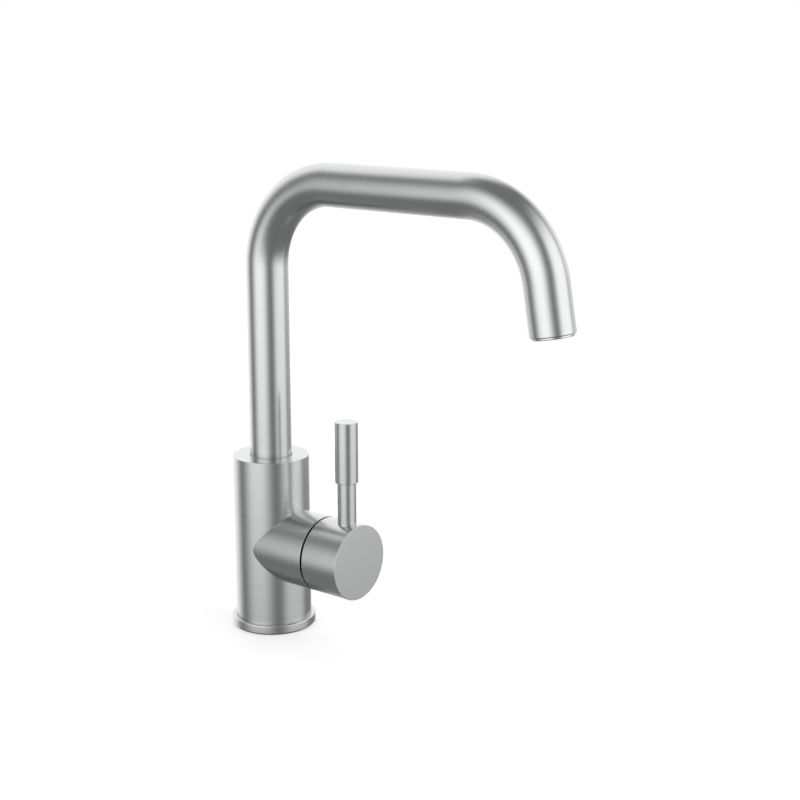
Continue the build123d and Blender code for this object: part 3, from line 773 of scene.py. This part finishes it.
def make_cap(sizes, finish):
    """The hollow handle cap with its lever boss, stem socket and set screw hole."""
    inner = ARM_RADIUS - sizes.cap_wall
    floor = CAP_HIGH.x - sizes.cap_end
    outline = [(inner, floor), (inner, CAP_LOW.x), (ARM_RADIUS, CAP_LOW.x), (ARM_RADIUS, CAP_HIGH.x)]
    cap = turned("handle_end_cap", outline)
    soften(cap, [(ARM_RADIUS, CAP_LOW.x)], sizes.cap_rim)
    soften(cap, [(ARM_RADIUS, CAP_HIGH.x)], sizes.cap_face, segments=4)
    soften(cap, [(inner, CAP_LOW.x)], CAP_MOUTH_EDGE)
    place(cap, ARM_AXIS, ALONG_X)
    foot = NECK_LOW.z - RUNNING
    top = ARM_HEIGHT + ARM_RADIUS - sizes.cap_wall * 0.8
    boss = turned("lever_boss", [(sizes.lever_boss, foot), (sizes.lever_boss, top)], SMALL_FACETS)
    place(boss, LEVER_AXIS)
    combine(cap, boss, "UNION")
    radius = sizes.lever_thread + RUNNING
    cut_round(cap, "lever_hole", [(radius, foot - MM), (radius, CAP_HIGH.z + MM)], LEVER_AXIS)
    width = STEM_HIGH.y - STEM_LOW.y + 2 * RUNNING
    depth = STEM_HIGH.x + RUNNING - floor + MM
    middle = floor - MM + depth / 2
    combine(cap, block("stem_socket", (depth, width, width), (middle, 0, ARM_HEIGHT)), "DIFFERENCE")
    radius = CAP_SCREW_RADIUS + RUNNING
    outline = sunk_hole(radius, SCREW_HOLE_SINK, CAP_LOW.z, ARM_HEIGHT)
    cut_round(cap, "screw_hole", outline, (CAP_SCREW_X, 0, 0))
    dress(cap, "handle", "handle_cap", "brushed_steel", satin(finish, "along_arm"))


def make_lever(sizes, finish):
    """The neck, saddled onto the cap and threaded into it, and the thicker grip over its spigot."""
    steel = satin(finish, "on_lever")
    grip_foot = GRIP_LOW.z
    neck = turned("lever_neck", [(NECK_RADIUS, ARM_HEIGHT), (NECK_RADIUS, grip_foot)], SMALL_FACETS)
    place(neck, LEVER_AXIS)
    saddle = [(ARM_RADIUS, CAP_LOW.x - MM), (ARM_RADIUS, CAP_HIGH.x + MM)]
    cut_round(neck, "saddle", saddle, ARM_AXIS, ALONG_X, FACETS)
    thread = sizes.lever_thread
    spigot = sizes.grip_spigot
    middle = (CAP_HIGH.z + grip_foot) / 2
    outline = [(thread, NECK_LOW.z), (thread, middle), (spigot, middle), (spigot, NECK_HIGH.z)]
    core = turned("core", outline, SMALL_FACETS)
    place(core, LEVER_AXIS)
    combine(neck, core, "UNION")
    dress(neck, "handle", "lever_rod", "brushed_steel", steel)

    bore = spigot + RUNNING
    outline = [
        (bore, NECK_HIGH.z + RUNNING),
        (bore, grip_foot),
        (GRIP_RADIUS, grip_foot),
        (GRIP_RADIUS, GRIP_HIGH.z),
    ]
    grip = turned("lever_grip_sleeve", outline, SMALL_FACETS)
    soften(grip, [(GRIP_RADIUS, grip_foot), (GRIP_RADIUS, GRIP_HIGH.z)], sizes.grip_edge)
    place(grip, LEVER_AXIS)
    dress(grip, "handle", "lever_grip", "brushed_steel", steel)


def spout_reach(sizes):
    """How far the outlet's centre stands out along X."""
    return TUBE_HIGH.x - TUBE_RADIUS * math.sin(sizes.outlet_turn)


def run_end(sizes):
    """Where the level run ends and the second bend starts."""
    turn = sizes.outlet_turn
    past_run = sizes.bend_radius * math.sin(turn) + sizes.outlet_straight * math.cos(turn)
    return spout_reach(sizes) - past_run


def outlet_place(sizes):
    """Centre of the tube's cut end."""
    turn = sizes.outlet_turn
    drop = sizes.bend_radius * (1 - math.cos(turn)) + sizes.outlet_straight * math.sin(turn)
    return Vector((spout_reach(sizes), 0, RUN_HEIGHT - drop))


def outlet_way(sizes):
    """The way that the outlet points."""
    return Vector((math.cos(sizes.outlet_turn), 0, -math.sin(sizes.outlet_turn)))


def make_spout(sizes, finish):
    """A round tube: riser, quarter bend, level run, shorter bend and straight outlet."""
    bend = sizes.bend_radius
    bend_z = RUN_HEIGHT - bend
    stop = run_end(sizes)
    down = outlet_way(sizes)
    end = outlet_place(sizes)
    tube = start_ring("spout_pipe", TUBE_RADIUS, TUBE_LOW.z, TUBE_FACETS)
    draw_out((0, 0, bend_z - TUBE_LOW.z))
    bpy.ops.mesh.spin(steps=BEND_STEPS, angle=-math.pi / 2, center=(bend, 0, bend_z), axis=(0, 1, 0))
    draw_out((stop - bend, 0, 0))
    bpy.ops.mesh.spin(
        steps=OUTLET_BEND_STEPS, angle=-sizes.outlet_turn, center=(stop, 0, bend_z), axis=(0, 1, 0)
    )
    draw_out(down * sizes.outlet_straight)
    weld()
    face_outwards()
    apply_modifier(tube, "SOLIDIFY", thickness=sizes.tube_wall, offset=-1.0, use_even_offset=True)
    longest = 2 * math.pi * TUBE_RADIUS / TUBE_FACETS * 1.01

    def on_end(point):
        return abs((point - end).dot(down)) < TOUCH or abs(point.z - TUBE_LOW.z) < TOUCH

    def on_rim(edge):
        long = edge.calc_length()
        crosses_wall = abs(long - sizes.tube_wall) < TOUCH
        return all(on_end(v.co) for v in edge.verts) and long < longest and not crosses_wall

    bevel(tube, on_rim, sizes.tube_edge, 3)
    add_unbent_places(tube, sizes)
    dress(tube, "spout", "spout_tube", "brushed_steel", satin(finish, "on_tube"))


def add_unbent_places(tube, sizes):
    """Stores where each point would lie in a straight tube, so that the grain follows the bends."""
    bend = sizes.bend_radius
    bend_z = RUN_HEIGHT - bend
    run_stop = run_end(sizes)
    first_end = bend_z + bend * math.pi / 2
    second_start = first_end + run_stop - bend
    second_end = second_start + bend * sizes.outlet_turn
    end = outlet_place(sizes)
    down = outlet_way(sizes)
    inward = Vector((down.z, 0, -down.x))
    attribute = tube.data.attributes.new("unbent", "FLOAT_VECTOR", "POINT")
    for vertex, entry in zip(tube.data.vertices, attribute.data):
        point = vertex.co
        past = (point - end).dot(down) + sizes.outlet_straight
        if point.x < bend and point.z < bend_z:
            entry.vector = point
        elif point.x < bend:
            up, out = point.z - bend_z, bend - point.x
            along = bend_z + bend * math.atan2(up, out)
            entry.vector = (bend - math.hypot(up, out), point.y, along)
        elif point.x < run_stop:
            entry.vector = (RUN_HEIGHT - point.z, point.y, first_end + point.x - bend)
        elif past < 0:
            up, out = point.z - bend_z, point.x - run_stop
            along = second_start + bend * math.atan2(out, up)
            entry.vector = (bend - math.hypot(up, out), point.y, along)
        else:
            entry.vector = ((point - end).dot(inward), point.y, second_end + past)


def make_outlet(sizes, finish):
    """The aerator's housing, screwed into the tube's end with its lip below it."""
    barrel = AERATOR_SEAL_HIGH.y
    lip = AERATOR_HIGH.y
    bore = barrel - sizes.outlet_wall
    mouth = bore - sizes.outlet_ledge
    foot = sizes.outlet_lip
    shelf = foot - sizes.ledge_height
    outline = [
        (bore, -sizes.outlet_depth),
        (barrel, -sizes.outlet_depth),
        (barrel, LOOSE),
        (lip, LOOSE),
        (lip, foot),
        (mouth, foot),
        (mouth, shelf),
        (bore, shelf),
    ]
    housing = turned("outlet_rim", outline, TUBE_FACETS, joined=True)
    soften(housing, [(lip, foot)], OUTLET_EDGE)
    soften(housing, [(lip, LOOSE), (mouth, foot)], OUTLET_FINE_EDGE)
    centre = outlet_place(sizes)
    tilt = ALONG_X + sizes.outlet_turn
    place(housing, centre, tilt)
    steel = satin(finish, "on_outlet", turn=(0, tilt, 0), centre=centre)
    dress(housing, "spout", "aerator_housing", "brushed_steel", steel)


def grub_screw(name, radius, long, key, tip=()):
    """A grub screw that stands on its foot at height zero, with a hexagon socket in its top."""
    edge = radius / 5
    outline = [*tip, (radius - edge, 0), (radius, edge), (radius, long - edge), (radius - edge, long)]
    screw = turned(name, outline, SMALL_FACETS)
    combine(screw, hexagon("key", key, 2 * KEY_DEPTH, long), "DIFFERENCE")
    return screw


def make_screws(finish):
    """The spout's retaining screw at the back and the cap's set screw underneath."""
    steel = surface(finish, "turned_steel")
    tip = [(TIP_RADIUS, -TIP_LENGTH), (TIP_RADIUS, 0)]
    long = BACK_SCREW_HIGH.x - BACK_SCREW_LOW.x - TIP_LENGTH
    back = grub_screw("spout_grub_screw", BACK_SCREW_RADIUS, long, BACK_KEY, tip)
    place(back, (BACK_SCREW_HIGH.x - TIP_LENGTH, 0, BACK_SCREW_HEIGHT), -ALONG_X)
    dress(back, "body", "spout_retaining_screw", "screw_steel", steel)

    long = CAP_SCREW_HIGH.z - CAP_SCREW_LOW.z
    under = grub_screw("cap_grub_screw", CAP_SCREW_RADIUS, long, CAP_KEY)
    place(under, (CAP_SCREW_X, 0, CAP_SCREW_HIGH.z), math.pi)
    dress(under, "handle", "handle_set_screw", "screw_steel", steel)


def make_stud(sizes, finish):
    """The mounting stud: a plain core joined with one long ridge of thread."""
    pitch = sizes.thread_pitch
    root = STUD_RADIUS - THREAD_DEPTH * pitch
    radius = root + THREAD_OVERLAP
    outline = [
        (radius - STUD_EDGE, STUD_LOW.z),
        (radius, STUD_LOW.z + STUD_EDGE),
        (radius, STUD_HIGH.z - STUD_EDGE),
        (radius - STUD_EDGE, STUD_HIGH.z),
    ]
    core = turned("threaded_stud", outline, STUD_FACETS)
    start_clean()
    bpy.ops.mesh.primitive_plane_add(size=MM, location=(root, 0, STUD_LOW.z + pitch / 2))
    thread = bpy.context.object
    set_place(thread)
    edit(thread)
    bpy.ops.mesh.select_all(action="SELECT")
    bpy.ops.mesh.merge(type="CENTER")
    depth = STUD_RADIUS - root
    crest = pitch / 8
    flank = pitch * 5 / 16
    for across, up in ((depth, flank), (0, crest), (-depth, flank), (0, -crest - 2 * flank)):
        bpy.ops.mesh.extrude_vertices_move(TRANSFORM_OT_translate={"value": (across, 0, up)})
    weld()
    start_clean()
    turns = int((STUD_HIGH.z - STUD_LOW.z) / pitch) - 2
    steps = {"steps": STUD_FACETS, "render_steps": STUD_FACETS}
    apply_modifier(thread, "SCREW", angle=2 * math.pi, screw_offset=pitch, iterations=turns, **steps)
    edit(thread)
    weld()
    close_ends()
    face_outwards()
    combine(core, thread, "UNION")
    place(core, STUD_AXIS)
    dress(core, "body", "mounting_stud", "zinc_steel", surface(finish, "zinc_plate"))


def make_nut(finish):
    """The hexagon nut, its corners chamfered by a cone, with a countersunk bore."""
    flats = NUT_HIGH.y - NUT_LOW.y
    long = NUT_HIGH.z - NUT_LOW.z
    nut = hexagon("hexagon_nut", flats, long, (NUT_LOW.z + NUT_HIGH.z) / 2, math.pi / 2)
    beyond = flats / math.sqrt(3) + MM / 10
    outline = [
        (flats / 2 - 0.2 * MM, NUT_LOW.z),
        (beyond, NUT_LOW.z + NUT_CHAMFER),
        (beyond, NUT_HIGH.z + MM),
    ]
    combine(nut, turned("nut_chamfer", outline, SMALL_FACETS), "INTERSECT")
    bore = STUD_RADIUS + RUNNING
    outline = sunk_hole(bore, NUT_SINK, NUT_LOW.z, NUT_HIGH.z - NUT_SINK)
    outline += [(bore + NUT_SINK, NUT_HIGH.z), (bore + NUT_SINK, NUT_HIGH.z + MM)]
    cut_round(nut, "nut_bore", outline)
    place(nut, STUD_AXIS)
    dress(nut, "body", "clamp_nut", "zinc_steel", surface(finish, "zinc_plate"))


def horseshoe(name, low, high, sizes, width):
    """A round plate with the stud's hole, open towards the back where the hoses come down."""
    radius = high.y
    plate = turned(name, [(radius, low.z), (radius, high.z)])
    long = radius + sizes.slot_end + MM
    size = (long, sizes.slot_width, high.z - low.z + 2 * MM)
    slot = block("slot", size, (sizes.slot_end - long / 2, 0, (low.z + high.z) / 2))

    def at_end(edge):
        a, b = (v.co for v in edge.verts)
        return all(abs(point.x - sizes.slot_end) < TOUCH for point in (a, b)) and a.y * b.y > 0

    bevel(slot, at_end, sizes.slot_corner, 10)
    combine(plate, slot, "DIFFERENCE")
    radius = STUD_RADIUS + LOOSE
    cut_round(plate, "stud_clearance", [(radius, low.z - MM), (radius, high.z + MM)], STUD_AXIS)

    def on_rim(edge):
        level = any(all(abs(v.co.z - height) < TOUCH for v in edge.verts) for height in (low.z, high.z))
        return level and edge.calc_face_angle(0.0) > math.radians(30)

    bevel(plate, on_rim, width, 2)
    return plate


def make_clamp(sizes, finish):
    """The horseshoe plate under the deck and the rubber pad on it."""
    plate = horseshoe("horseshoe_plate", PLATE_LOW, PLATE_HIGH, sizes, PLATE_EDGE)
    dress(plate, "body", "clamp_plate", "zinc_steel", surface(finish, "zinc_plate"))
    pad = horseshoe("horseshoe_pad", PAD_LOW, PAD_HIGH, sizes, PAD_EDGE)
    dress(pad, "body", "clamp_pad", "black_rubber", surface(finish, "seal_rubber"))


def finish_inner_parts(finish):
    """Gives each of the frame's own parts that still shows its finish, in place of a plain colour."""
    for node in frame["nodes"].values():
        if not node.hide_render:
            for slot in node.material_slots:
                slot.material = surface(finish, INNER_SURFACES[slot.material.name])


# Studio

CAMERA_PLACE = Vector((0.6133, -0.6509, 0.3543))
CAMERA_AIM = Vector((-0.6026, 0.7631, -0.2336))
CAMERA_LENS = 68.8
SENSOR_WIDTH = 36.0

# Light of the room between the soft boxes, and of the backdrop behind the faucet
ROOM_LIGHT = 0.225
BACKDROP_LIGHT = 1.3

# The floor lies just below the base seal, so that the two don't share a plane
FLOOR_SIZE = 12
FLOOR_DROP = 0.1 * MM

# Soft boxes, and the stretches of backdrop that light the faucet from behind, in degrees: turn from the
# camera's side, half width, heights above the horizon and how far the edges fade. Boxes have their light
SOFT_BOXES = (
    {"turn": -39, "half": 34, "fade": 22,
     "low": -18, "low_fade": 14.5, "high": 39, "high_fade": 26, "light": 1.48},
    {"turn": 73, "half": 35, "fade": 15.5,
     "low": -18.5, "low_fade": 18, "high": 52, "high_fade": 21, "light": 1.34},
)
BACKDROP = (
    {"turn": 207, "half": 33, "fade": 26, "low": -30, "low_fade": 24, "high": 58, "high_fade": 9},
    {"turn": 174, "half": 54, "fade": 8, "low": -3, "low_fade": 20, "high": 27, "high_fade": 25},
)


def add_patch(tree, turn, rise, patch):
    """A mask of one soft edged patch of the studio, in the direction of a turn and a rise in radians."""
    edges = {name: math.radians(value) for name, value in patch.items() if name != "light"}
    centre = math.atan2(-CAMERA_AIM.y, -CAMERA_AIM.x) + edges["turn"]
    away = add_node(tree, "ShaderNodeMath", {1: math.pi, 2: -math.pi}, operation="WRAP")
    tree.links.new(add_math(tree, "SUBTRACT", turn, centre), away.inputs[0])
    beside = add_math(tree, "ABSOLUTE", away.outputs[0])
    mask = 1.0
    sides = ((beside, "half", "fade", -1), (rise, "low", "low_fade", 1), (rise, "high", "high_fade", -1))
    for value, edge, fade, inwards in sides:
        inner = edges[edge] + inwards * edges[fade]
        outer = edges[edge] - inwards * edges[fade]
        mask = add_math(tree, "MULTIPLY", add_range(tree, value, outer, inner, kind="SMOOTHSTEP"), mask)
    return mask


def make_world():
    """A dim studio with two tall soft boxes, and a white backdrop that the metal mirrors behind."""
    world = bpy.data.worlds.new("studio")
    bpy.context.scene.world = world
    world.use_nodes = True
    tree = world.node_tree
    tree.nodes.clear()
    link = tree.links.new
    direction = add_node(tree, "ShaderNodeTexCoord")
    parts = add_node(tree, "ShaderNodeSeparateXYZ")
    link(direction.outputs["Generated"], parts.inputs["Vector"])
    turn = add_math(tree, "ARCTAN2", parts.outputs["Y"], parts.outputs["X"])
    rise = add_math(tree, "ARCSINE", parts.outputs["Z"])
    behind = 0.0
    for patch in BACKDROP:
        behind = add_math(tree, "ADD", add_patch(tree, turn, rise, patch), behind)
    behind = add_math(tree, "MINIMUM", behind, 1.0)
    light = add_range(tree, behind, 0, 1, ROOM_LIGHT, BACKDROP_LIGHT)
    for box in SOFT_BOXES:
        glow = add_math(tree, "MULTIPLY", add_patch(tree, turn, rise, box), box["light"])
        light = add_math(tree, "ADD", glow, light)
    studio = add_node(tree, "ShaderNodeBackground", {"Color": (1, 1, 1, 1)})
    link(light, studio.inputs["Strength"])
    seen = add_node(tree, "ShaderNodeLightPath")
    mirrored = add_math(tree, "ADD", seen.outputs["Is Glossy Ray"], seen.outputs["Is Transmission Ray"])
    backdrop = add_node(tree, "ShaderNodeBackground", {"Color": (1, 1, 1, 1)})
    link(add_range(tree, mirrored, 0, 1, 1, BACKDROP_LIGHT), backdrop.inputs["Strength"])
    mirrored_behind = add_math(tree, "MULTIPLY", mirrored, behind)
    shown = add_math(tree, "ADD", seen.outputs["Is Camera Ray"], mirrored_behind)
    mix = add_node(tree, "ShaderNodeMixShader")
    output = add_node(tree, "ShaderNodeOutputWorld")
    link(shown, mix.inputs["Fac"])
    link(studio.outputs["Background"], mix.inputs[1])
    link(backdrop.outputs["Background"], mix.inputs[2])
    link(mix.outputs["Shader"], output.inputs["Surface"])


def make_floor(finish):
    """A pale floor that the camera sees as white but for the faucet's shadow."""
    start_clean()
    bpy.ops.mesh.primitive_plane_add(size=FLOOR_SIZE, location=(0, 0, -FLOOR_DROP))
    floor = bpy.context.object
    floor.name = "studio_floor"
    floor.visible_glossy = False
    material, tree, shader = start_material("studio_floor")
    shader.inputs["Base Color"].default_value = (*finish.floor, 1)
    shader.inputs["Roughness"].default_value = 0.9
    shader.inputs["Specular IOR Level"].default_value = 0.0
    seen = add_node(tree, "ShaderNodeLightPath")
    lift = add_math(tree, "MULTIPLY", seen.outputs["Is Camera Ray"], finish.floor_lift)
    shader.inputs["Emission Color"].default_value = (1, 1, 1, 1)
    tree.links.new(lift, shader.inputs["Emission Strength"])
    floor.data.materials.append(material)


def hide_fixings():
    """Hides what a deck would hide from the steel above it: the fixings below."""
    for name in ("threaded_stud", "hexagon_nut", "horseshoe_plate", "horseshoe_pad"):
        bpy.data.objects[name].visible_glossy = False


def make_camera():
    """The camera at the photograph's angle."""
    data = bpy.data.cameras.new("camera")
    data.lens = CAMERA_LENS
    data.sensor_width = SENSOR_WIDTH
    camera = bpy.data.objects.new("camera", data)
    bpy.context.scene.collection.objects.link(camera)
    camera.location = CAMERA_PLACE
    camera.rotation_euler = CAMERA_AIM.to_track_quat("-Z", "Y").to_euler()
    bpy.context.scene.camera = camera


# Operators

def settings(context):
    """The sizes and the finish that the scene holds."""
    return context.scene.faucet_sizes, context.scene.faucet_finish


class MakeColumn(bpy.types.Operator):
    """Turns the column and the arm, joins them and bores the sockets"""

    bl_idname = "faucet.make_column"
    bl_label = "Column and arm"

    def execute(self, context):
        make_valve_body(*settings(context))
        return {"FINISHED"}


class MakeBase(bpy.types.Operator):
    """Turns the base ring and its seal"""

    bl_idname = "faucet.make_base"
    bl_label = "Base ring and seal"

    def execute(self, context):
        make_base_ring(*settings(context))
        make_base_seal(*settings(context))
        return {"FINISHED"}


class MakeCap(bpy.types.Operator):
    """Turns the hollow handle cap and bores it for the stem, the lever and the set screw"""

    bl_idname = "faucet.make_cap"
    bl_label = "Handle cap"

    def execute(self, context):
        make_cap(*settings(context))
        return {"FINISHED"}


class MakeLever(bpy.types.Operator):
    """Turns the lever's neck and grip, and saddles the neck onto the cap"""

    bl_idname = "faucet.make_lever"
    bl_label = "Lever"

    def execute(self, context):
        make_lever(*settings(context))
        return {"FINISHED"}


class MakeSpout(bpy.types.Operator):
    """Draws the spout's tube along its riser, bends and run"""

    bl_idname = "faucet.make_spout"
    bl_label = "Spout"

    def execute(self, context):
        make_spout(*settings(context))
        return {"FINISHED"}


class MakeOutlet(bpy.types.Operator):
    """Turns the aerator's housing and sets it in the spout's end"""

    bl_idname = "faucet.make_outlet"
    bl_label = "Outlet"

    def execute(self, context):
        make_outlet(*settings(context))
        return {"FINISHED"}


class MakeScrews(bpy.types.Operator):
    """Makes both grub screws with their hexagon sockets"""

    bl_idname = "faucet.make_screws"
    bl_label = "Grub screws"

    def execute(self, context):
        make_screws(context.scene.faucet_finish)
        return {"FINISHED"}


class MakeDeckFixings(bpy.types.Operator):
    """Makes the stud, nut, clamp plate and pad that hold the faucet from below"""

    bl_idname = "faucet.make_deck_fixings"
    bl_label = "Deck fixings"

    def execute(self, context):
        make_stud(*settings(context))
        make_nut(context.scene.faucet_finish)
        make_clamp(*settings(context))
        return {"FINISHED"}


class FinishInnerParts(bpy.types.Operator):
    """Finishes the cartridge, seals, bearings and fittings inside"""

    bl_idname = "faucet.finish_inner_parts"
    bl_label = "Inner parts"

    def execute(self, context):
        finish_inner_parts(context.scene.faucet_finish)
        return {"FINISHED"}


class MakeStudio(bpy.types.Operator):
    """Makes the pale floor, the soft boxes and the camera"""

    bl_idname = "faucet.make_studio"
    bl_label = "Studio"

    def execute(self, context):
        make_world()
        make_floor(context.scene.faucet_finish)
        hide_fixings()
        make_camera()
        context.scene.view_settings.view_transform = "Standard"
        return {"FINISHED"}


MAKERS = (
    MakeColumn,
    MakeBase,
    MakeCap,
    MakeLever,
    MakeSpout,
    MakeOutlet,
    MakeScrews,
    MakeDeckFixings,
    FinishInnerParts,
    MakeStudio,
)


class FAUCET_PT_makers(bpy.types.Panel):
    """Lists what makes the faucet, in order, with its sizes and colours"""

    bl_idname = "FAUCET_PT_makers"
    bl_label = "Bathroom sink faucet"
    bl_space_type = "VIEW_3D"
    bl_region_type = "UI"
    bl_category = "Faucet"

    def draw(self, context):
        for maker in MAKERS:
            self.layout.operator(maker.bl_idname)
        for group in settings(context):
            for name in group.__annotations__:
                self.layout.prop(group, name)


CLASSES = (FaucetSizes, FaucetFinish, *MAKERS, FAUCET_PT_makers)


def register():
    """Makes the faucet's settings, makers and panel known to Blender."""
    for each in CLASSES:
        bpy.utils.register_class(each)
    bpy.types.Scene.faucet_sizes = bpy.props.PointerProperty(type=FaucetSizes)
    bpy.types.Scene.faucet_finish = bpy.props.PointerProperty(type=FaucetFinish)


def unregister():
    """Takes the faucet's settings, makers and panel away again."""
    del bpy.types.Scene.faucet_finish
    del bpy.types.Scene.faucet_sizes
    for each in reversed(CLASSES):
        bpy.utils.unregister_class(each)


def main():
    """Makes the faucet piece by piece, then the studio."""
    register()
    bpy.ops.faucet.make_column()
    bpy.ops.faucet.make_base()
    bpy.ops.faucet.make_cap()
    bpy.ops.faucet.make_lever()
    bpy.ops.faucet.make_spout()
    bpy.ops.faucet.make_outlet()
    bpy.ops.faucet.make_screws()
    bpy.ops.faucet.make_deck_fixings()
    bpy.ops.faucet.finish_inner_parts()
    bpy.ops.faucet.make_studio()


if __name__ == "__main__":
    main()
